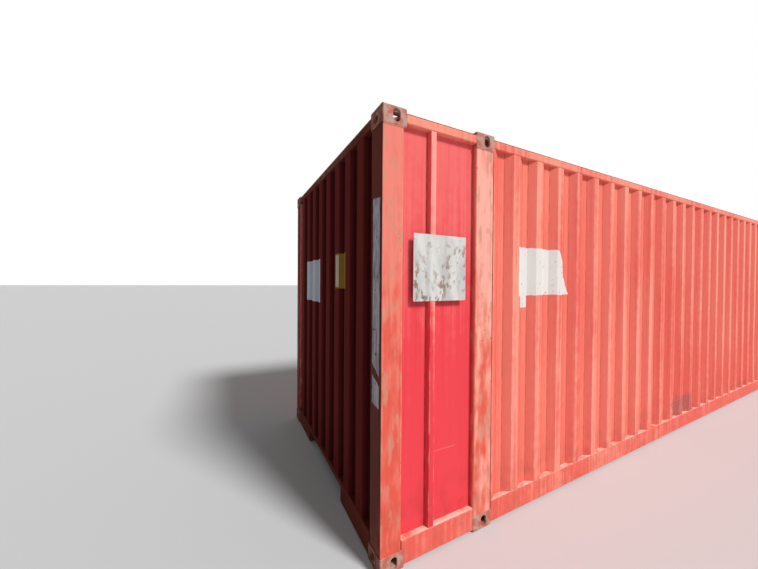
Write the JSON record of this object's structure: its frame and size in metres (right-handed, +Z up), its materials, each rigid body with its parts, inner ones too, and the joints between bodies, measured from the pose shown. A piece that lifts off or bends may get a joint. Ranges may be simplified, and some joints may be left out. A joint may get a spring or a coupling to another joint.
{
  "type": "shipping container, high-cube dry type",
  "caption": "High-cube dry freight container of welded corrugated steel, with corner castings, inner posts, a gooseneck tunnel, a plywood floor and closed double doors.",
  "frame": {"origin": "centre of the base, on the plane of the bottom castings' soles", "axes": "+X along the length from the blank front end to the door end, +Y from the left side to the right side, +Z up"},
  "size_m": [13.716, 2.438, 2.896],
  "materials": {
    "frame_steel": "faded red-orange enamel, chalked, rust at edges",
    "corrugated_wall": "sun-faded red enamel with streaks",
    "front_wall_steel": "dark red enamel, semi-matt",
    "roof_steel": "chalked red enamel with rust",
    "casting_steel": "worn paint over cast steel",
    "door_steel": "faded red enamel",
    "lock_gear": "worn enamel over galvanised steel",
    "gasket_rubber": "aged black rubber",
    "floor_plywood": "worn hardwood plywood",
    "underframe_steel": "dark wax-coated steel with rust"
  },
  "bodies": {
    "root": {"bar_brackets": "lock_gear", "bay_panel_front_left": "corrugated_wall", "bay_panel_front_right": "corrugated_wall", "bay_panel_rear_left": "corrugated_wall", "bay_panel_rear_right": "corrugated_wall", "bottom_corner_castings": "casting_steel", "bottom_inner_castings": "casting_steel", "bottom_side_rail_left": "frame_steel", "bottom_side_rail_right": "frame_steel", "cam_keepers": "lock_gear", "cross_members": "underframe_steel", "door_frame_left": "door_steel", "door_frame_right": "door_steel", "door_gaskets": "gasket_rubber", "door_handles": "lock_gear", "door_header": "frame_steel", "door_panel_left": "door_steel", "door_panel_right": "door_steel", "door_sill": "frame_steel", "floor": "floor_plywood", "front_header": "frame_steel", "front_post_left": "frame_steel", "front_post_right": "frame_steel", "front_sill": "frame_steel", "front_wall": "front_wall_steel", "gooseneck_tunnel": "underframe_steel", "handle_catches": "lock_gear", "hinge_lugs": "lock_gear", "hinge_straps": "lock_gear", "inner_frame_bolsters": "underframe_steel", "inner_post_front_left": "frame_steel", "inner_post_front_right": "frame_steel", "inner_post_rear_left": "frame_steel", "inner_post_rear_right": "frame_steel", "locking_bars": "lock_gear", "rear_post_left": "frame_steel", "rear_post_right": "frame_steel", "roof_cross_plates": "roof_steel", "roof_sheets": "roof_steel", "side_wall_left": "corrugated_wall", "side_wall_right": "corrugated_wall", "top_corner_castings": "casting_steel", "top_inner_castings": "casting_steel", "top_side_rail_left": "frame_steel", "top_side_rail_right": "frame_steel"}
  },
  "joints": []
}
